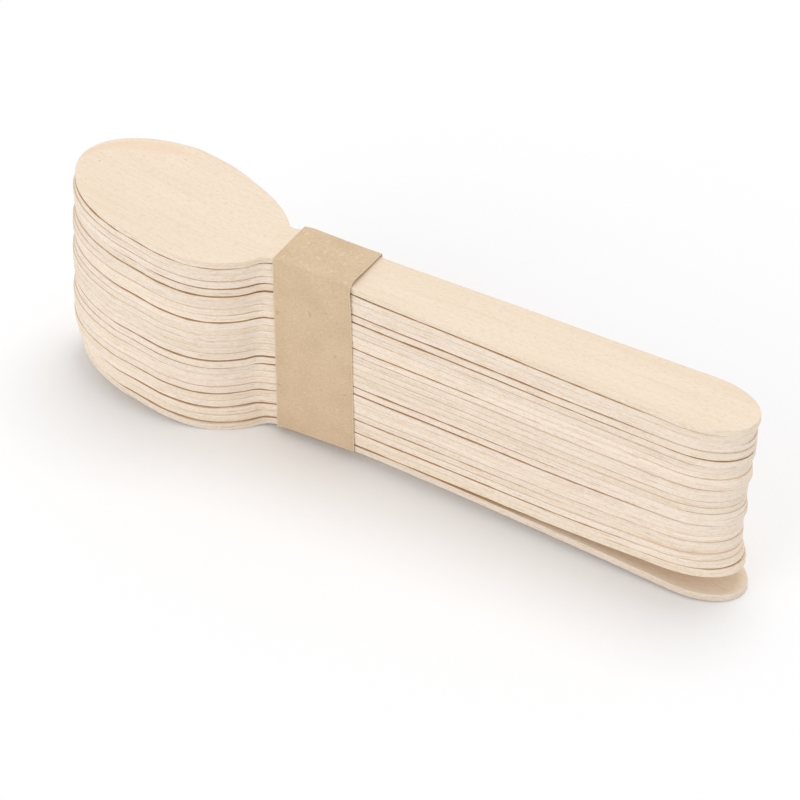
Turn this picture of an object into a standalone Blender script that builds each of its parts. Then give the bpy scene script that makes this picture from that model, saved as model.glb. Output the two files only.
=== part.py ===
"""A bundle of flat wooden spoons, stacked with all bowls at one end and held by a glued paper band."""

import math
import random

import bmesh
import bpy

# Lengths are in millimetres. A station is a distance along the bundle from the tip of the bowls.
MM = 0.001

# The stack
SPOON_COUNT = 25
LOOSE_ABOVE = (1, 3, 5, 9, 10, 16, 20, 21, 24)
LOOSE_SHARE = 2.6

# One spoon, cut from a sheet of veneer
SPOON_LENGTH = 160.0
SPOON_THICKNESS = 1.45
BOWL_LENGTH = 49.2
BOWL_WIDTH = 31.5
NECK_WIDTH = 11.0
NECK_SHARPNESS = 8.0
HANDLE_WIDTH = 16.2
HANDLE_ROUND = 13.4

# How the bottom spoon lies: its root and the end of its handle touch the floor
BOWL_TIP_LIFT = 4.6
BOWL_MIDDLE_LIFT = 3.1
ROOT_BEFORE_BOWL_END = 7.4
ROOT_FLAT = 5.0
NECK_AFTER_BOWL_END = 4.8
NECK_LIFT = 2.3
HANDLE_LIFT = 3.0
HANDLE_START_LIFT = 2.8
HANDLE_MIDDLE_LIFT = 1.7
HANDLE_TURN = 10.0
HANDLE_TURN_LIFT = 0.55
DISH_DEPTH = 1.0
DISH_START = 2.0

# Mean gap between neighbouring spoons, and the gaps that open towards the handle ends
GAP_AT_TIP = 0.41
GAP_AT_ROOT = 0.38
GAP_AT_BAND = 0.305
GAP_AT_HANDLE = 0.275
GAP_AT_END = 0.105
GAPS_OPEN_FROM = 115.0
FOOT_OPENING_START = 1.4
FOOT_OPENING = 5.4
SMALL_OPENING = 0.9
SMALL_OPENINGS_ABOVE = (2, 20)

# How far the spoons slip out of line
SLIDE_BACK = 1.9
SLIDE_BACK_MOST = 5
GROUP_BULGE = 0.6
SLIDE_SCATTER = 0.12
TOP_SLIDE = -0.1
FOOT_SLIDE = -0.5
SIDE_SCATTER = 0.08
TURN_SCATTER = 0.0025
SCATTER_SEED = 11

# The paper band
BAND_WIDTH = 19.1
BAND_FROM_BOWL = 1.9
BAND_TO_HOLD = 5.0
HOLD_TO_HANDLE = 15.0
PAPER_THICKNESS = 0.18
BAND_CLEARANCE = 0.08
FOLD_RADIUS = 0.5
LAP_LENGTH = 12.0
LAP_ABOVE_FOLD = 14.0
LAP_TAPER = 1.5

# Steps that round stretches are drawn with, and the room they leave for the spoons' slip
ROOM_AT_BOWL = 2.0
ROOM_AT_END = 4.0
BOWL_STEPS = 8
END_STEPS = 6
FOLD_STEPS = 3

BIRCH = (0.83, 0.71, 0.55)
BIRCH_SPREAD = 0.03
KRAFT = (0.62, 0.44, 0.27)

NECK = BOWL_LENGTH + NECK_AFTER_BOWL_END
BAND_START = BOWL_LENGTH + BAND_FROM_BOWL
BAND_END = BAND_START + BAND_WIDTH
PAST_BAND = BAND_END + BAND_TO_HOLD
HANDLE_START = PAST_BAND + HOLD_TO_HANDLE
ROOT_START = BOWL_LENGTH - ROOT_BEFORE_BOWL_END - ROOT_FLAT / 2
ROOT_END = ROOT_START + ROOT_FLAT


def smooth_line(points, station):
    """Read a smooth curve through (station, value) points that never overshoots them."""
    if station <= points[0][0]:
        return points[0][1]
    if station >= points[-1][0]:
        return points[-1][1]
    rises = []
    for (x0, y0), (x1, y1) in zip(points, points[1:]):
        rises.append((y1 - y0) / (x1 - x0))
    slopes = [rises[0]]
    for before, after in zip(rises, rises[1:]):
        same_way = before * after > 0
        slopes.append(2 * before * after / (before + after) if same_way else 0.0)
    slopes.append(rises[-1])
    i = max(n for n in range(len(rises)) if points[n][0] <= station)
    (x0, y0), (x1, y1) = points[i], points[i + 1]
    t = (station - x0) / (x1 - x0)
    rise = y1 - y0
    start_pull = slopes[i] * (x1 - x0)
    end_pull = slopes[i + 1] * (x1 - x0)
    return (y0 + rise * t * t * (3 - 2 * t)
            + start_pull * t * (1 - t) ** 2
            - end_pull * t * t * (1 - t))


def between(start, end, steps):
    """Even stations after start, up to and with end."""
    return [start + (end - start) * n / steps for n in range(1, steps + 1)]


def half_width(station):
    """Half the width of a spoon, by the distance from the tip of its own bowl."""
    bowl_middle = BOWL_LENGTH / 2
    off_middle = min(abs(station - bowl_middle) / bowl_middle, 1.0)
    bowl = BOWL_WIDTH / 2 * math.sqrt(1 - off_middle ** 2)
    if station < bowl_middle:
        return bowl
    along_handle = (station - BOWL_LENGTH) / (SPOON_LENGTH - BOWL_LENGTH)
    handle = (NECK_WIDTH + (HANDLE_WIDTH - NECK_WIDTH) * along_handle) / 2
    into_end = max(station - SPOON_LENGTH + HANDLE_ROUND, 0.0) / HANDLE_ROUND
    handle *= math.sqrt(max(1 - into_end ** 2, 0.0))
    return (bowl ** NECK_SHARPNESS + handle ** NECK_SHARPNESS) ** (1 / NECK_SHARPNESS)


def bottom_height(station):
    """Height over the floor of the underside of the bottom spoon."""
    return smooth_line([
        (0.0, BOWL_TIP_LIFT),
        (BOWL_LENGTH * 0.4, BOWL_MIDDLE_LIFT),
        (ROOT_START, 0.0),
        (ROOT_END, 0.0),
        (NECK, NECK_LIFT),
        (PAST_BAND, HANDLE_LIFT),
        (HANDLE_START, HANDLE_START_LIFT),
        ((HANDLE_START + SPOON_LENGTH) / 2, HANDLE_MIDDLE_LIFT),
        (SPOON_LENGTH - HANDLE_TURN, HANDLE_TURN_LIFT),
        (SPOON_LENGTH, 0.0),
    ], station)


def mean_gap(station):
    """Mean gap between two neighbouring spoons."""
    return smooth_line([
        (0.0, GAP_AT_TIP),
        (ROOT_END, GAP_AT_ROOT),
        (PAST_BAND, GAP_AT_BAND),
        (GAPS_OPEN_FROM, GAP_AT_HANDLE),
        (SPOON_LENGTH, GAP_AT_END),
    ], station)


def gap_share(spoon):
    """The part of all the gaps that lies under a spoon, from 0 at the bottom to 1 at the top."""
    shares = []
    for below in range(1, SPOON_COUNT):
        shares.append(LOOSE_SHARE if below in LOOSE_ABOVE else 1.0)
    return sum(shares[:spoon - 1]) / sum(shares)


def dish(station, side):
    """How far the middle of the bowl is pressed below its rim."""
    along = (station - DISH_START) / (ROOT_START - DISH_START)
    if not 0 < along < 1:
        return 0.0
    across = side / half_width(station)
    return DISH_DEPTH * math.sin(math.pi * along) ** 2 * (1 - across ** 2)


def opening(station, start, end):
    """A gap that starts beyond the band and widens to the handle end."""
    return smooth_line([(PAST_BAND, 0.0), (GAPS_OPEN_FROM, start), (SPOON_LENGTH, end)], station)


def underside(spoon, station, side):
    """Height of the underside of a spoon, counted from 1 at the bottom of the stack."""
    gaps = (SPOON_COUNT - 1) * mean_gap(station) * gap_share(spoon)
    opened = opening(station, FOOT_OPENING_START, FOOT_OPENING) if spoon > 1 else 0.0
    for below in SMALL_OPENINGS_ABOVE:
        if spoon > below:
            opened += opening(station, 0.0, SMALL_OPENING)
    stacked = (spoon - 1) * SPOON_THICKNESS
    return bottom_height(station) - dish(station, side) + stacked + gaps + opened


def bulge(spoon):
    """How far a spoon stands out at the bowls, from 0 to 1, as spoons between two loose gaps do."""
    below = max((n for n in LOOSE_ABOVE if n < spoon), default=0)
    above = min((n for n in LOOSE_ABOVE if n >= spoon), default=SPOON_COUNT)
    group = above - below
    return math.sin(math.pi * (spoon - below - 0.5) / group) if group > 1 else 0.0


def slip(spoon):
    """How far a spoon lies along, to the side and turned, out of line with the stack."""
    if spoon == 1:
        return FOOT_SLIDE, 0.0, 0.0
    if spoon == SPOON_COUNT:
        return TOP_SLIDE, 0.0, 0.0
    scatter = random.Random(SCATTER_SEED * SPOON_COUNT + spoon)
    lean = [(1, FOOT_SLIDE), (SLIDE_BACK_MOST, -SLIDE_BACK), (SPOON_COUNT, TOP_SLIDE)]
    along = smooth_line(lean, spoon) + scatter.uniform(-SLIDE_SCATTER, SLIDE_SCATTER)
    along -= GROUP_BULGE * bulge(spoon)
    side = scatter.uniform(-SIDE_SCATTER, SIDE_SCATTER)
    turn = scatter.uniform(-TURN_SCATTER, TURN_SCATTER)
    return along, side, turn


def centre_line(spoon, station):
    """Where the middle of a spoon's width lies."""
    _, side, turn = slip(spoon)
    return side + turn * (station - (BAND_START + BAND_END) / 2)


def shared_stations():
    """Stations of the rows between the two round ends, the same on every spoon."""
    stations = between(BOWL_LENGTH / 2 - ROOM_AT_BOWL, ROOT_START, 4)
    stations.append(ROOT_END)
    stations += between(ROOT_END, BOWL_LENGTH, 3)
    stations += between(BOWL_LENGTH, NECK, 3)
    stations += between(NECK, PAST_BAND, 4)
    stations += between(PAST_BAND, HANDLE_START, 1)
    stations += between(HANDLE_START, SPOON_LENGTH - HANDLE_ROUND - ROOM_AT_END, 6)
    return stations


def spoon_stations(along):
    """Stations of all rows of one spoon, whose round ends slip along with it."""
    bowl_middle = BOWL_LENGTH / 2
    bowl_end = []
    for step in range(BOWL_STEPS):
        angle = math.pi / 2 * step / BOWL_STEPS
        bowl_end.append(along + bowl_middle * (1 - math.cos(angle)))
    handle_end = []
    for step in range(END_STEPS + 1):
        angle = math.pi / 2 * step / END_STEPS
        handle_end.append(along + SPOON_LENGTH - HANDLE_ROUND * (1 - math.sin(angle)))
    return bowl_end + shared_stations() + handle_end


def spoon_row(spoon, station, along, lift):
    """Points across a spoon: one at a tip, five where the bowl is dished, else the two edges."""
    half = half_width(station - along)
    if half < 0.001:
        fractions = (0,)
    elif station < ROOT_START + 0.001:
        fractions = (-1, -0.5, 0, 0.5, 1)
    else:
        fractions = (-1, 1)
    middle = centre_line(spoon, station)
    points = []
    for fraction in fractions:
        side = middle + fraction * half
        height = underside(spoon, station, side) + lift
        points.append((station * MM, side * MM, height * MM))
    return points


def join_rows(mesh, first, second):
    """Faces between two rows of vertices."""
    if len(first) == 1:
        for left, right in zip(second, second[1:]):
            mesh.faces.new((first[0], left, right))
    elif len(second) == 1:
        for left, right in zip(first, first[1:]):
            mesh.faces.new((left, second[0], right))
    elif len(first) == len(second):
        for n in range(len(first) - 1):
            mesh.faces.new((first[n], second[n], second[n + 1], first[n + 1]))
    else:
        mesh.faces.new(first + second[::-1])


def paint(item, colour, roughness):
    """Give an object its own plain material."""
    material = bpy.data.materials.new(item.name)
    material.use_nodes = True
    shader = material.node_tree.nodes["Principled BSDF"]
    shader.inputs["Base Color"].default_value = (*colour, 1.0)
    shader.inputs["Roughness"].default_value = roughness
    shader.inputs["Metallic"].default_value = 0.0
    item.data.materials.append(material)


def finish(mesh, name):
    """Turn a bmesh into a named object of the scene."""
    bmesh.ops.recalc_face_normals(mesh, faces=mesh.faces)
    data = bpy.data.meshes.new(name)
    mesh.to_mesh(data)
    mesh.free()
    item = bpy.data.objects.new(name, data)
    bpy.context.scene.collection.objects.link(item)
    return item


def build_spoon(spoon):
    """One spoon of even thickness that follows the stack where it lies."""
    along, _, _ = slip(spoon)
    stations = spoon_stations(along)
    mesh = bmesh.new()
    skins = []
    for lift in (0.0, SPOON_THICKNESS):
        rows = []
        for station in stations:
            points = spoon_row(spoon, station, along, lift)
            rows.append([mesh.verts.new(point) for point in points])
        for first, second in zip(rows, rows[1:]):
            join_rows(mesh, first, second)
        skins.append(rows)
    lower, upper = skins
    for n in range(len(stations) - 1):
        for edge in (0, -1):
            mesh.faces.new((lower[n][edge], lower[n + 1][edge], upper[n + 1][edge], upper[n][edge]))
    item = finish(mesh, f"spoon_{spoon:02d}")
    tone = random.Random(SCATTER_SEED + spoon).uniform(1 - BIRCH_SPREAD, 1 + BIRCH_SPREAD)
    paint(item, [value * tone for value in BIRCH], 0.6)
    return item


def widest_in_band():
    """The farthest that any spoon's edge reaches to the side inside the band."""
    reach = 0.0
    for spoon in range(1, SPOON_COUNT + 1):
        along, _, _ = slip(spoon)
        for station in [BAND_START] + between(BAND_START, BAND_END, 8):
            edge = abs(centre_line(spoon, station)) + half_width(station - along)
            reach = max(reach, edge)
    return reach


def band_loops(half, low, high):
    """Inner and outer loop of the band's section, with the lap of its glued ends at the far side."""
    inner = []
    outer = []
    corners = ((-1, low, -1, 180), (1, low, -1, 270), (1, high, 1, 0), (-1, high, 1, 90))
    for side, level, way, start in corners:
        centre = (side * (half - FOLD_RADIUS), level - way * FOLD_RADIUS)
        for step in range(FOLD_STEPS + 1):
            angle = math.radians(start + 90 * step / FOLD_STEPS)
            toward = (math.cos(angle), math.sin(angle))
            for loop, radius in ((inner, FOLD_RADIUS), (outer, FOLD_RADIUS + PAPER_THICKNESS)):
                loop.append((centre[0] + toward[0] * radius, centre[1] + toward[1] * radius))
        if side == 1 and way == -1:
            lap_low = low + LAP_ABOVE_FOLD
            lap_high = lap_low + LAP_LENGTH
            levels = (lap_low - PAPER_THICKNESS / 2, lap_low, lap_high, lap_high + LAP_TAPER)
            for rise, layers in zip(levels, (1, 2, 2, 1)):
                inner.append((half, rise))
                outer.append((half + layers * PAPER_THICKNESS, rise))
    return inner, outer


def build_band():
    """The paper band: one strip folded round the handles, close to the stack all along."""
    half = widest_in_band() + BAND_CLEARANCE
    mesh = bmesh.new()
    sections = []
    inside = [station for station in shared_stations() if BAND_START < station < BAND_END]
    for station in [BAND_START] + inside + [BAND_END]:
        low = underside(1, station, 0.0) - BAND_CLEARANCE
        high = underside(SPOON_COUNT, station, 0.0) + SPOON_THICKNESS + BAND_CLEARANCE
        section = []
        for loop in band_loops(half, low, high):
            section.append([mesh.verts.new((station * MM, y * MM, z * MM)) for y, z in loop])
        sections.append(section)
    strips = []
    for before, after in zip(sections, sections[1:]):
        (inner_before, outer_before), (inner_after, outer_after) = before, after
        strips += [(outer_before, outer_after), (inner_after, inner_before)]
    inner_start, outer_start = sections[0]
    inner_end, outer_end = sections[-1]
    strips += [(inner_start, outer_start), (outer_end, inner_end)]
    for first, second in strips:
        for n in range(len(first)):
            after = (n + 1) % len(first)
            mesh.faces.new((first[n], first[after], second[after], second[n]))
    item = finish(mesh, "paper_band")
    paint(item, KRAFT, 0.85)
    return item


def centre_on_floor(items):
    """Move the whole bundle so that the middle of its box lies over the origin."""
    for axis in (0, 1):
        places = [vertex.co[axis] for item in items for vertex in item.data.vertices]
        middle = (min(places) + max(places)) / 2
        for item in items:
            item.location[axis] = -middle


def build():
    for item in list(bpy.data.objects):
        bpy.data.objects.remove(item, do_unlink=True)
    items = [build_spoon(spoon) for spoon in range(1, SPOON_COUNT + 1)]
    items.append(build_band())
    centre_on_floor(items)


build()
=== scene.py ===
"""Finish and studio for a banded bundle of wooden spoons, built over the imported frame."""

import math
import random
from functools import lru_cache

import bmesh
import bpy
from mathutils import Matrix, Vector, noise


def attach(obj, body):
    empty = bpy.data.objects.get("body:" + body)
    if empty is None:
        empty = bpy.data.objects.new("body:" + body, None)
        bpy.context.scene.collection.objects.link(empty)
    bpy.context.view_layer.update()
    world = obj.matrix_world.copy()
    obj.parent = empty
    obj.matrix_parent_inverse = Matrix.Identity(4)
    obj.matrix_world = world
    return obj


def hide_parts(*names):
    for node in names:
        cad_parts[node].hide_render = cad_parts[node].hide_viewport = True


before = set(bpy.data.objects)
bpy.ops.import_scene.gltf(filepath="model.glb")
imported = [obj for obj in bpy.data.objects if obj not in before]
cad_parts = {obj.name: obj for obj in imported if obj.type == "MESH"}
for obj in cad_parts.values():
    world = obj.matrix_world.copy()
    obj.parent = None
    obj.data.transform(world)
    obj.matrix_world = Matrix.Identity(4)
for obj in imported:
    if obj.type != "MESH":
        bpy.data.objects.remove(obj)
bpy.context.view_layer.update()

# Lengths are in metres, and a pair gives where a change begins and where it ends
MM = 0.001
ROWS_APART = 0.02 * MM
SPOONS = 25
SHARP_ANGLE = math.radians(40)
WALL_ANGLE = math.radians(60)

# Die-cut spoons of peeled birch
EDGE_ROUNDING = 0.11 * MM
EDGE_SEGMENTS = 3
ROWS_ALONG = 150
EVEN_ROWS = 0.25
ROWS_ACROSS = 12
CUT_WANDER = 0.06 * MM
WANDER_WAVES = 260
WANDER_SHIFT = 7.3
SHEET_SPACING = 37 * MM
SHEET_SHIFT = 0.013
CLOSED_GAP = 0.01 * MM
OPEN_WAVES = (0.0, 0.5)
TIGHT_BELOW = 0.26 * MM
LOOSE_ABOVE = 0.40 * MM
TIGHT_OPEN = 0.05 * MM
LOOSE_OPEN = 0.28 * MM
LOOSE_OPEN_AT_END = 0.15 * MM
LOOSE_OPEN_AT_TIP = 0.09 * MM
TOP_OPEN_AT_TIP = 0.35 * MM
PLAIN_GAP = 0.8 * MM
LOOSE_GAP_SPREAD = 0.6
GAP_WAVES = 40.0
GAP_SHIFT = 5.1
RAGGED_WAVES = 330.0
RAGGED_SHIFT = 3.3
RAGGED = 0.7
LESS_OPEN_TO_END = (5 * MM, 55 * MM)
LESS_OPEN_TO_TIP = (44 * MM, 70 * MM)
# Painted shade in the creases between stacked spoons: the gaps where it darkens, the wide gaps where it
# fades, how far in from the rim it reaches, and the overhang it begins under
CREASE_SHADE_GAPS = (0.02 * MM, 0.2 * MM)
WIDE_GAPS = (0.5 * MM, 1.4 * MM)
CREASE_SHADE_REACH = (1.0 * MM, 3.0 * MM)
OVERHANG = 0.3 * MM
# A warmer, darker band a little inside the bowls' far rim: how far in from the rim it starts and fades,
# and where it ends along the spoon
FAR_RIM_STARTS = (0.3 * MM, 2.0 * MM)
FAR_RIM_FADES = (2.5 * MM, 6.5 * MM)
FAR_RIM_ENDS = (-68 * MM, -50 * MM)
TIP_WIDTH = 0.05 * MM
TONES = (0.96, 1.02)
ROSINESS = (0.2, 0.8)
STRAW = (0.0, 0.8)
TOP_STRAW = 1.0
DRAWS_APART = 31

# Kraft band
PAPER = 0.18 * MM
CRISP_FOLD = 0.4 * MM
LOOSE_FOLD = 2.6 * MM
LIFTED_EDGE = 0.5 * MM
LIFTED_FOLD = 0.5 * MM
LIFT_FADES = 10 * MM
ASKEW = (0.25 * MM, 0.6 * MM)
PULLED_IN = 0.01
LAP_FROM_FOLD = 14 * MM
LAP = 12 * MM
LAP_STEPS_OUT = 2.1
STEP_BEGINS = 2 * MM
STEP_ENDS = 0.5 * MM
FOLD_STEPS = 6
NEAR_FOLD_STEPS = 10
LOOSENS = 3
PAPER_ROWS = 24
PAPER_STEP = 1.2 * MM

# Where the photograph was taken from
CAMERA_AZIMUTH = math.radians(30.88)
CAMERA_ELEVATION = math.radians(40.09)
CAMERA_ROLL = math.radians(0.03)
CAMERA_DISTANCE = 0.8796
CAMERA_TARGET = Vector((0.00133, -0.00412, 0.020))
FOCAL_PIXELS = 4239.1
PHOTO_PIXELS = 800
SENSOR_WIDTH = 36.0
CLIP_START = 10 * MM

# Table, backdrop and lamps: a lamp's name, place, size and power
TABLE_REACH = 3.0
TABLE_ROUGHNESS = 0.9
BACKDROP_STRENGTH = 0.76
LAMPS_AIM = Vector((0, 0, 0.02))
LAMPS = (("ceiling", Vector((0.03, 0.38, 1.35)), 0.8, 5.05),
         ("front", Vector((-0.50, -1.33, 0.62)), 1.3, 4.3))

# Outputs of the Attribute and Texture Coordinate nodes
VECTOR_OUT = 1
NUMBER_OUT = 2
OBJECT_OUT = 3

# Colours, as linear values
BIRCH_PALE = (0.89, 0.75, 0.595)
BIRCH_TAN = (0.78, 0.60, 0.43)
BIRCH_ROSE = (0.84, 0.67, 0.52)
# Warmer and darker, for a band inside the bowls' far rim
BIRCH_FAR_RIM = (0.85, 0.635, 0.46)
BIRCH_LINE = (0.48, 0.32, 0.19)
EDGE_PALE = (0.905, 0.78, 0.665)
EDGE_STRAW = (0.89, 0.755, 0.58)
EDGE_LIGHT = (0.96, 0.86, 0.75)
EDGE_TAN = (0.78, 0.60, 0.45)
EDGE_LINE = (0.58, 0.40, 0.245)
# Painted shade, brown, for the creases between stacked spoons
CREASE_SHADE = (0.67, 0.43, 0.215)
KRAFT = (0.70, 0.535, 0.36)
KRAFT_DARK = (0.53, 0.375, 0.225)
# Pale kraft: pale fibres, and the band's cut edges, where it is partly painted highlight
KRAFT_LIGHT = (0.83, 0.68, 0.49)
TABLE_WHITE = (0.957, 0.96, 0.972)
BACKDROP_WHITE = (1.0, 1.0, 1.0)


class Wire:
    """One socket of a material's nodes, which takes part in sums like a number."""

    def __init__(self, sheet, socket):
        self.sheet = sheet
        self.socket = socket

    def _math(self, operation, *values):
        return self.sheet.node("ShaderNodeMath", {"operation": operation}, *values)

    def __add__(self, other):
        return self._math("ADD", self, other)

    def __radd__(self, other):
        return self._math("ADD", other, self)

    def __sub__(self, other):
        return self._math("SUBTRACT", self, other)

    def __rsub__(self, other):
        return self._math("SUBTRACT", other, self)

    def __mul__(self, other):
        return self._math("MULTIPLY", self, other)

    def __rmul__(self, other):
        return self._math("MULTIPLY", other, self)


class Finish:
    """A material under construction: its nodes, and a way to add more of them."""

    def __init__(self, name, roughness, specular):
        self.material = bpy.data.materials.new(name)
        self.material.use_nodes = True
        self.tree = self.material.node_tree
        self.shader = self.tree.nodes["Principled BSDF"]
        self.shader.inputs["Roughness"].default_value = roughness
        self.shader.inputs["Specular IOR Level"].default_value = specular

    def node(self, kind, settings=None, *values, out=0, **named):
        """Add a node, give it its settings, fill its inputs in order or by name, return an output."""
        node = self.tree.nodes.new(kind)
        for key, value in (settings or {}).items():
            setattr(node, key, value)
        entries = list(enumerate(values))
        entries += [(key.replace("_", " "), value) for key, value in named.items()]
        for key, value in entries:
            if isinstance(value, Wire):
                self.tree.links.new(value.socket, node.inputs[key])
            else:
                node.inputs[key].default_value = value
        return Wire(self, node.outputs[out])

    def attribute(self, name, out=NUMBER_OUT):
        """What the points of the mesh carry under a name."""
        return self.node("ShaderNodeAttribute", {"attribute_name": name}, out=out)

    def smooth_step(self, value, low, high):
        """0 below low, 1 above high, eased between."""
        return self.node("ShaderNodeMapRange", {"interpolation_type": "SMOOTHSTEP"},
                         value, low, high, 0.0, 1.0)

    def noise(self, place, stretch, detail=2.0, roughness=0.5):
        """Noise from 0 to 1 with so many waves per metre along each axis."""
        scaled = self.node("ShaderNodeMapping", {"vector_type": "POINT"}, place, Scale=stretch)
        return self.node("ShaderNodeTexNoise", None, scaled, Scale=1.0, Detail=detail, Roughness=roughness)

    def mix(self, share, first, second):
        """Colour between two colours."""
        first = first if isinstance(first, Wire) else (*first, 1.0)
        second = second if isinstance(second, Wire) else (*second, 1.0)
        node = self.tree.nodes.new("ShaderNodeMix")
        node.data_type = "RGBA"
        for key, value in (("Factor_Float", share), ("A_Color", first), ("B_Color", second)):
            socket = next(item for item in node.inputs if item.identifier == key)
            if isinstance(value, Wire):
                self.tree.links.new(value.socket, socket)
            else:
                socket.default_value = value
        return Wire(self, next(item for item in node.outputs if item.identifier == "Result_Color"))

    def tint(self, colour, pattern, low, high, share, other):
        """A colour taken a share of the way to another, where the pattern rises from low to high."""
        return self.mix(self.smooth_step(pattern, low, high) * share, colour, other)

    def finish(self, colour, roughness, height, bump, relief):
        """Join the pattern to the shader, and return the material."""
        normal = self.node("ShaderNodeBump", None, Strength=bump, Distance=relief, Height=height)
        for name, wire in (("Base Color", colour), ("Roughness", roughness), ("Normal", normal)):
            self.tree.links.new(wire.socket, self.shader.inputs[name])
        return self.material


def birch(name, tone, rosy, straw):
    """Peeled birch: pale and finely flecked along the spoon, with frayed fibres on its cut edges, a warmer
    band inside the bowls' far rim, and painted shade on the rims in the narrow gaps between stacked
    spoons.
    """
    wood = Finish(name, roughness=0.62, specular=0.35)
    place = wood.attribute("fibre", VECTOR_OUT)
    cut = wood.attribute("cut")
    crease_shade = wood.attribute("crease_shade")
    far_rim = wood.attribute("far_rim")
    bands = wood.noise(place, (9, 110, 260), detail=2.0)
    dashes = wood.noise(place, (800, 3400, 3400), detail=2.0, roughness=0.6)
    fibres = wood.noise(place, (60, 1500, 1500), detail=3.0, roughness=0.6)
    blotches = wood.noise(place, (45, 90, 60), detail=2.0)
    specks = wood.noise(place, (1100, 1500, 1500), detail=0.0)
    frays = wood.noise(place, (220, 220, 4000), detail=4.0, roughness=0.7)
    grit = wood.noise(place, (1100, 1100, 3300), detail=2.0, roughness=0.6)
    strands = wood.noise(place, (60, 60, 2300), detail=2.0)
    colour = wood.tint(BIRCH_PALE, bands, 0.42, 0.72, 0.25, BIRCH_TAN)
    colour = wood.tint(colour, blotches, 0.50, 0.75, rosy, BIRCH_ROSE)
    colour = wood.tint(colour, fibres, 0.42, 0.75, 0.30, BIRCH_TAN)
    colour = wood.tint(colour, dashes, 0.50, 0.66, 0.50, BIRCH_TAN)
    # A patchy warmer, darker band just inside the bowl's far rim
    colour = wood.tint(colour, far_rim + blotches * 0.8, 0.75, 1.25, 0.5, BIRCH_FAR_RIM)
    colour = wood.tint(colour, specks, 0.85, 0.88, 0.4, BIRCH_LINE)
    edge = wood.mix(straw, EDGE_PALE, EDGE_STRAW)
    edge = wood.tint(edge, strands, 0.50, 0.68, 0.40, EDGE_TAN)
    edge = wood.tint(edge, 1 - strands, 0.52, 0.68, 0.40, EDGE_LIGHT)
    edge = wood.tint(edge, frays, 0.54, 0.70, 0.60, EDGE_LINE)
    edge = wood.tint(edge, 1 - frays, 0.54, 0.70, 0.50, EDGE_LIGHT)
    edge = wood.tint(edge, grit, 0.50, 0.70, 0.45, EDGE_TAN)
    edge = wood.tint(edge, 1 - grit, 0.50, 0.70, 0.45, EDGE_LIGHT)
    colour = wood.mix(cut, colour, edge)
    # Painted shade: the rims in the narrow creases between stacked spoons are darkened brown
    colour = wood.mix(crease_shade * 0.95, colour, CREASE_SHADE)
    shade = wood.node("ShaderNodeHueSaturation", None,
                      Hue=0.5, Saturation=1.0, Value=tone, Fac=1.0, Color=colour)
    height = fibres * 0.4 + dashes * 0.3 + cut * (frays + grit * 0.6)
    return wood.finish(shade, 0.58 + fibres * 0.12, height, bump=0.35, relief=0.00014)


def kraft(name):
    """Brown kraft paper: fine fibre mottling, cloudy tone and a few light and dark fibres, with its cut
    edges paler, partly as painted highlight.
    """
    paper = Finish(name, roughness=0.85, specular=0.2)
    place = paper.node("ShaderNodeTexCoord", out=OBJECT_OUT)
    pale_edge_and_highlight = paper.attribute("pale_edge_and_highlight")
    clouds = paper.noise(place, (160, 160, 160), detail=3.0)
    mottle = paper.noise(place, (2200, 2200, 2200), detail=3.0, roughness=0.7)
    hairs = paper.noise(place, (900, 900, 4200), detail=1.0)
    flecks = paper.noise(place, (500, 500, 700), detail=0.0)
    colour = paper.tint(KRAFT, clouds, 0.3, 0.75, 0.30, KRAFT_DARK)
    colour = paper.tint(colour, mottle, 0.45, 0.70, 0.50, KRAFT_DARK)
    colour = paper.tint(colour, hairs, 0.58, 0.75, 0.40, KRAFT_LIGHT)
    colour = paper.tint(colour, flecks, 0.80, 0.84, 0.6, KRAFT_DARK)
    # The band's cut edges painted paler: partly the pale cut paper, partly a painted highlight along the
    # edge
    colour = paper.tint(colour, pale_edge_and_highlight, 0.5, 0.85, 0.8, KRAFT_LIGHT)
    height = mottle * 0.7 + hairs * 0.3
    return paper.finish(colour, 0.82 + mottle * 0.1, height, bump=0.25, relief=0.0001)


def smooth_through(places, values, at):
    """Value at a place on a smooth curve through the given points, with no overshoot."""
    if at <= places[0]:
        return values[0]
    if at >= places[-1]:
        return values[-1]
    i = max(n for n in range(len(places) - 1) if places[n] <= at)

    def rise(n):
        return (values[n + 1] - values[n]) / (places[n + 1] - places[n])

    def slope(n):
        if n == 0:
            return rise(0)
        if n == len(places) - 1:
            return rise(n - 1)
        before, after = rise(n - 1), rise(n)
        return 2 * before * after / (before + after) if before * after > 0 else 0.0

    width = places[i + 1] - places[i]
    t = (at - places[i]) / width
    return (values[i] + (values[i + 1] - values[i]) * t * t * (3 - 2 * t)
            + slope(i) * width * t * (1 - t) ** 2 - slope(i + 1) * width * t * t * (1 - t))


def rows_along(node):
    """The points of a CAD node in rows across it, from the bowls to the handle ends."""
    rows = []
    for point in sorted((vertex.co for vertex in node.data.vertices), key=lambda co: co.x):
        if not rows or point.x - rows[-1][-1].x > ROWS_APART:
            rows.append([])
        rows[-1].append(point)
    return rows


def finish_piece(mesh, name, material, node_name):
    """Make an object of a bmesh, and let it ride and stand for its node."""
    data = bpy.data.meshes.new(name)
    mesh.to_mesh(data)
    mesh.free()
    data.shade_smooth()
    data.set_sharp_from_angle(angle=SHARP_ANGLE)
    data.materials.append(material)
    piece = bpy.data.objects.new(name, data)
    bpy.context.scene.collection.objects.link(piece)
    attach(piece, "root")
    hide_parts(node_name)
    return piece


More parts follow.
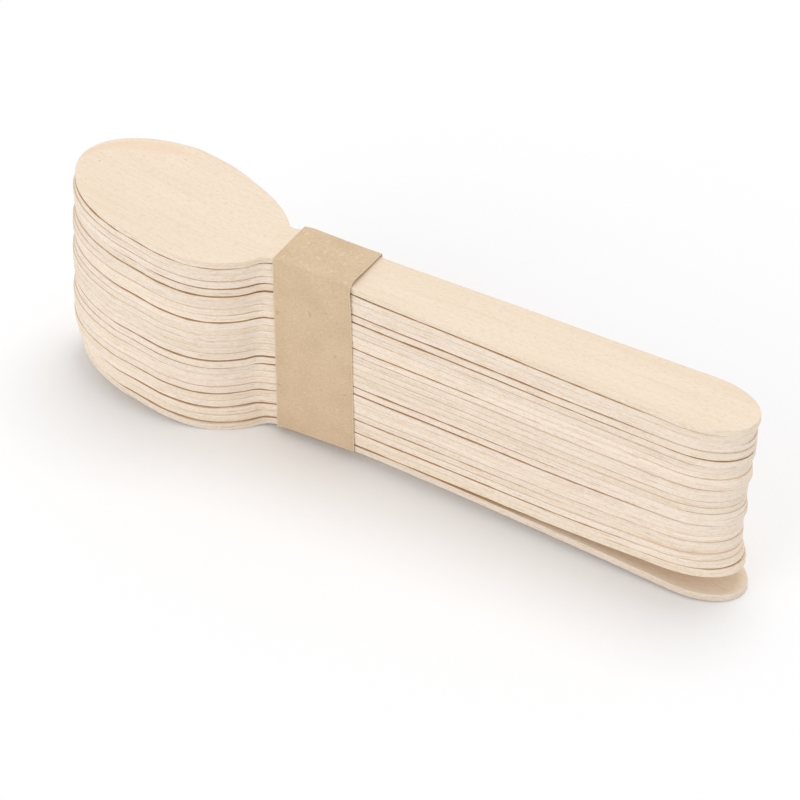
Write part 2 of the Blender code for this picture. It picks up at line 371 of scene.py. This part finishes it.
def read_spoon(number):
    """What the CAD says of one spoon, as smooth curves along it."""
    places, centres, squares, rims, dips = [], [], [], [], []
    rows = rows_along(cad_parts[f"spoon_{number:02d}"])
    tip = [point.z for point in rows[0]]
    thick = max(tip) - min(tip)
    for row in rows:
        left = min(point.y for point in row)
        right = max(point.y for point in row)
        centre = (left + right) / 2
        rim = min(point.z for point in row if point.y < left + ROWS_APART)
        middle = [point.z for point in row if abs(point.y - centre) < ROWS_APART]
        places.append(sum(point.x for point in row) / len(row))
        centres.append(centre)
        squares.append(((right - left) / 2) ** 2)
        rims.append(rim)
        dips.append(rim - min(middle) if middle else 0.0)
    return {
        "start": places[0],
        "end": places[-1],
        "thick": thick,
        "centre": lambda x: smooth_through(places, centres, x),
        "half": lambda x: math.sqrt(max(smooth_through(places, squares, x), 0.0)),
        "rim": lambda x: smooth_through(places, rims, x),
        "dip": lambda x: smooth_through(places, dips, x),
    }


def ease(value, low, high):
    """0 below low, 1 above high, smooth between."""
    share = min(max((value - low) / (high - low), 0.0), 1.0)
    return share * share * (3 - 2 * share)


@lru_cache(maxsize=None)
def gap_under(number, x):
    """The gap that the CAD leaves under a spoon, and what stays open of it between two uneven sheets."""
    if number == 1 or number > len(spoons):
        return 0.0, 0.0
    under = spoons[number - 1]
    gap = spoons[number]["rim"](x) - under["rim"](x) - under["thick"]
    on_top = number == len(spoons)
    wave = noise.noise(Vector((x * GAP_WAVES, number * GAP_SHIFT, 0.0)))
    if on_top:
        wave = abs(wave)
    tight = min(CLOSED_GAP + TIGHT_OPEN * ease(wave, *OPEN_WAVES), gap)
    usual = LOOSE_OPEN + (LOOSE_OPEN_AT_END - LOOSE_OPEN) * ease(x, *LESS_OPEN_TO_END)
    tip = TOP_OPEN_AT_TIP if on_top else LOOSE_OPEN_AT_TIP
    usual += (tip - LOOSE_OPEN) * ease(-x, *LESS_OPEN_TO_TIP)
    ragged = 1 + RAGGED * noise.noise(Vector((x * RAGGED_WAVES, number * RAGGED_SHIFT, 0.0)))
    usual *= ragged * (1 - LOOSE_GAP_SPREAD * max(-wave, 0.0))
    loose = usual + max(gap - PLAIN_GAP, 0.0)
    return gap, tight + (min(loose, gap) - tight) * ease(gap, TIGHT_BELOW, LOOSE_ABOVE)


def shaded(number, neighbour, x, y, opening):
    """How much painted shade a point of a spoon's rim gets in the narrow gap beside its neighbour, from 0
    to 1.
    """
    if not 1 <= neighbour <= len(spoons):
        return 0.0
    own, other = spoons[number], spoons[neighbour]
    covered = other["half"](x) - abs(y - other["centre"](x))
    inward = own["half"](x) - abs(y - own["centre"](x))
    crease_shade = ease(covered, -OVERHANG, 0.0) * ease(opening, *CREASE_SHADE_GAPS) * (1 - ease(opening, *WIDE_GAPS))
    return crease_shade * (1 - ease(inward, *CREASE_SHADE_REACH))


def make_spoon(number):
    """One spoon: a flat slab with softened edges, then bent to lie where its node lies."""
    name = f"spoon_{number:02d}"
    curve = spoons[number]
    start, end, thick = curve["start"], curve["end"], curve["thick"]
    mesh = bmesh.new()
    bmesh.ops.create_grid(mesh, x_segments=ROWS_ALONG, y_segments=ROWS_ACROSS, size=1.0)
    for vertex in mesh.verts:
        even = (vertex.co.x + 1) / 2
        round_ends = (1 - math.cos(math.pi * even)) / 2
        x = start + (end - start) * (EVEN_ROWS * even + (1 - EVEN_ROWS) * round_ends)
        vertex.co = (x, curve["centre"](x) + curve["half"](x) * vertex.co.y, 0.0)
    bmesh.ops.remove_doubles(mesh, verts=mesh.verts, dist=ROWS_APART)
    for vertex in mesh.verts:
        if vertex.is_boundary:
            place = (vertex.co.x * WANDER_WAVES, vertex.co.y * WANDER_WAVES, number * WANDER_SHIFT)
            wander = noise.noise(Vector(place))
            vertex.co.y += CUT_WANDER * wander * (1 if vertex.co.y > 0 else -1)
    made = bmesh.ops.extrude_face_region(mesh, geom=mesh.faces[:])
    lifted = [item for item in made["geom"] if isinstance(item, bmesh.types.BMVert)]
    bmesh.ops.translate(mesh, verts=lifted, vec=(0, 0, thick))
    bmesh.ops.recalc_face_normals(mesh, faces=mesh.faces)
    walls = [edge for edge in mesh.edges if edge.calc_face_angle(0) > WALL_ANGLE]
    rims = [edge for edge in walls if abs(edge.verts[0].co.z - edge.verts[1].co.z) < EDGE_ROUNDING]
    bmesh.ops.bevel(mesh, geom=rims, offset=EDGE_ROUNDING, offset_type="OFFSET", segments=EDGE_SEGMENTS,
                    profile=0.5, affect="EDGES", clamp_overlap=False, material=-1)
    fibre = mesh.verts.layers.float_vector.new("fibre")
    cut = mesh.verts.layers.float.new("cut")
    crease_shade = mesh.verts.layers.float.new("crease_shade")
    far_rim = mesh.verts.layers.float.new("far_rim")
    for vertex in mesh.verts:
        x, y, z = vertex.co
        inward = curve["half"](x) - (y - curve["centre"](x))
        # A band just inside the bowl's far rim, which the material tints warmer and darker
        far_rim_share = ease(inward, *FAR_RIM_STARTS) * (1 - ease(inward, *FAR_RIM_FADES))
        vertex[far_rim] = far_rim_share * (1 - ease(x, *FAR_RIM_ENDS))
        gap_below, open_below = gap_under(number, x)
        gap_above, open_above = gap_under(number + 1, x)
        vertex[fibre] = (x + number * SHEET_SHIFT, y, z + number * SHEET_SPACING)
        inner = ROWS_APART < z < thick - ROWS_APART
        vertex[cut] = 1.0 if inner else 0.0
        low_rim = 1 - ease(z, 0.0, EDGE_ROUNDING)
        high_rim = 1 - ease(thick - z, 0.0, EDGE_ROUNDING)
        # Painted shade on the rims that lie in a narrow crease under or over a neighbouring spoon
        vertex[crease_shade] = max(low_rim * shaded(number, number - 1, x, y, open_below),
                             high_rim * shaded(number, number + 1, x, y, open_above))
        across = (y - curve["centre"](x)) / max(curve["half"](x), TIP_WIDTH)
        low = curve["rim"](x) - (gap_below - open_below) / 2
        high = curve["rim"](x) + thick + (gap_above - open_above) / 2
        vertex.co.z = low + (high - low) * z / thick - curve["dip"](x) * max(1 - across * across, 0.0)
    draw = random.Random(number * DRAWS_APART)
    finish = birch(f"birch_{number:02d}", draw.uniform(*TONES), draw.uniform(*ROSINESS),
                   TOP_STRAW if number == len(spoons) else draw.uniform(*STRAW))
    finish_piece(mesh, f"birch_{name}", finish, name)


def band_path(low, high, half, near_fold):
    """Outer side of the paper, seen along the bundle: from its inner end on the far side, down and under,
    up the near side, over the top and down over its start."""
    points = []
    first_layer = half + PAPER
    second_layer = half + LAP_STEPS_OUT * PAPER
    lap_low = low + LAP_FROM_FOLD
    lap_high = lap_low + LAP
    points.append((first_layer, lap_high))
    points.append((first_layer, lap_low))

    def fold(y, z, start, radius, steps=FOLD_STEPS):
        side = 1 if y > 0 else -1
        up = 1 if z > (low + high) / 2 else -1
        for step in range(steps + 1):
            angle = math.radians(start - 90 * step / steps)
            points.append((y - side * radius + radius * math.cos(angle),
                           z - up * radius + radius * math.sin(angle)))

    fold(first_layer, low, 0, CRISP_FOLD)
    fold(-first_layer, low, 270, CRISP_FOLD)
    fold(-first_layer, high, 180, near_fold, steps=NEAR_FOLD_STEPS)
    fold(first_layer, high, 90, CRISP_FOLD)
    points.append((first_layer, lap_high + STEP_BEGINS))
    points.append((second_layer, lap_high + STEP_ENDS))
    points.append((second_layer, lap_low))
    return points


def cut_evenly(points, counts):
    """The same path with each of its straight runs cut into so many pieces."""
    fine = [points[0]]
    for first, second, pieces in zip(points, points[1:], counts):
        for n in range(1, pieces + 1):
            fine.append(tuple(a + (b - a) * n / pieces for a, b in zip(first, second)))
    return fine


def make_band():
    """The kraft band: one strip of paper wound round the handles, loose at the edge by the handles."""
    rows = rows_along(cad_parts["paper_band"])
    fullest = max(len(row) for row in rows)
    rows = [row for row in rows if len(row) > fullest / 2]
    places = [row[0].x for row in rows]
    lows = [min(point.z for point in row) for row in rows]
    highs = [max(point.z for point in row) for row in rows]
    near = -min(point.y for point in rows[0])
    start, end = places[0], places[-1]
    first_path = band_path(lows[0], highs[0], near - PAPER, CRISP_FOLD)
    counts = [max(1, round(math.dist(a, b) / PAPER_STEP)) for a, b in zip(first_path, first_path[1:])]
    around = sum(counts)
    mesh = bmesh.new()
    bmesh.ops.create_grid(mesh, x_segments=PAPER_ROWS, y_segments=around, size=1.0)
    columns = []
    for n in range(PAPER_ROWS + 1):
        share = n / PAPER_ROWS
        x = start + (end - start) * share
        loose = share ** LOOSENS
        low = smooth_through(places, lows, x)
        high = smooth_through(places, highs, x) + LIFTED_EDGE * loose
        fold = CRISP_FOLD + (LOOSE_FOLD - CRISP_FOLD) * loose
        path = band_path(low, high, near - PAPER, fold)
        columns.append((x, loose, high, cut_evenly(path, counts)))
    pale_edge_and_highlight = mesh.verts.layers.float.new("pale_edge_and_highlight")
    for vertex in mesh.verts:
        share = (vertex.co.x + 1) / 2
        # The strip's two cut edges, which the material paints paler, partly as painted highlight
        vertex[pale_edge_and_highlight] = 1.0 if abs(vertex.co.x) > 1 - 1 / PAPER_ROWS else 0.0
        x, loose, high, path = columns[round(share * PAPER_ROWS)]
        y, z = path[round((vertex.co.y + 1) / 2 * around)]
        at_fold = loose * ease(z, high - LIFT_FADES, high) * ease(-y, near - LIFT_FADES, near)
        askew = (ASKEW[0] + (ASKEW[1] - ASKEW[0]) * share) * z / high
        pulled = y * (1 - PULLED_IN * loose)
        vertex.co = (x - askew, pulled - LIFTED_EDGE * at_fold, z + LIFTED_FOLD * at_fold)
    mesh.normal_update()
    near_faces = [face for face in mesh.faces if face.calc_center_median().y < -near + PAPER]
    if sum(face.normal.y for face in near_faces) > 0:
        bmesh.ops.reverse_faces(mesh, faces=mesh.faces)
    band = finish_piece(mesh, "kraft_band", kraft("kraft"), "paper_band")
    wall = band.modifiers.new("paper", "SOLIDIFY")
    wall.thickness = PAPER
    wall.offset = -1.0


def make_table():
    """A wide plain table without gloss."""
    material = bpy.data.materials.new("table_white")
    material.use_nodes = True
    shader = material.node_tree.nodes["Principled BSDF"]
    shader.inputs["Base Color"].default_value = (*TABLE_WHITE, 1.0)
    shader.inputs["Roughness"].default_value = TABLE_ROUGHNESS
    shader.inputs["Specular IOR Level"].default_value = 0.0
    mesh = bmesh.new()
    bmesh.ops.create_grid(mesh, x_segments=2, y_segments=2, size=TABLE_REACH)
    data = bpy.data.meshes.new("table")
    mesh.to_mesh(data)
    mesh.free()
    data.materials.append(material)
    table = bpy.data.objects.new("table", data)
    bpy.context.scene.collection.objects.link(table)


def make_lamp(name, place, size, power):
    """A round soft lamp that points at the bundle."""
    light = bpy.data.lights.new(name, "AREA")
    light.shape = "DISK"
    light.size = size
    light.energy = power
    lamp = bpy.data.objects.new(name, light)
    bpy.context.scene.collection.objects.link(lamp)
    turn = (LAMPS_AIM - place).to_track_quat("-Z", "Y")
    lamp.matrix_world = Matrix.Translation(place) @ turn.to_matrix().to_4x4()


def make_studio():
    """Even white surroundings and two soft lamps."""
    scene = bpy.context.scene
    scene.view_settings.view_transform = "Standard"
    world = bpy.data.worlds.new("studio")
    world.use_nodes = True
    backdrop = world.node_tree.nodes["Background"]
    backdrop.inputs["Color"].default_value = (*BACKDROP_WHITE, 1.0)
    backdrop.inputs["Strength"].default_value = BACKDROP_STRENGTH
    scene.world = world
    for name, place, size, power in LAMPS:
        make_lamp(name, place, size, power)


def make_camera():
    """The photograph's camera, from the outline of the top spoon and the corners of the band."""
    back = Vector((math.sin(CAMERA_AZIMUTH) * math.cos(CAMERA_ELEVATION),
                   -math.cos(CAMERA_AZIMUTH) * math.cos(CAMERA_ELEVATION),
                   math.sin(CAMERA_ELEVATION)))
    right = Vector((math.cos(CAMERA_AZIMUTH), math.sin(CAMERA_AZIMUTH), 0.0))
    up = back.cross(right)
    turn = Matrix.Rotation(CAMERA_ROLL, 3, back)
    right, up = turn @ right, turn @ up
    pose = Matrix((right, up, back)).transposed().to_4x4()
    lens = bpy.data.cameras.new("camera")
    lens.sensor_fit = "HORIZONTAL"
    lens.sensor_width = SENSOR_WIDTH
    lens.lens = FOCAL_PIXELS / PHOTO_PIXELS * SENSOR_WIDTH
    lens.clip_start = CLIP_START
    camera = bpy.data.objects.new("camera", lens)
    camera.matrix_world = Matrix.Translation(CAMERA_TARGET + CAMERA_DISTANCE * back) @ pose
    bpy.context.scene.collection.objects.link(camera)
    bpy.context.scene.camera = camera


spoons = {number: read_spoon(number) for number in range(1, SPOONS + 1)}
for number in spoons:
    make_spoon(number)
make_band()
make_table()
make_studio()
make_camera()
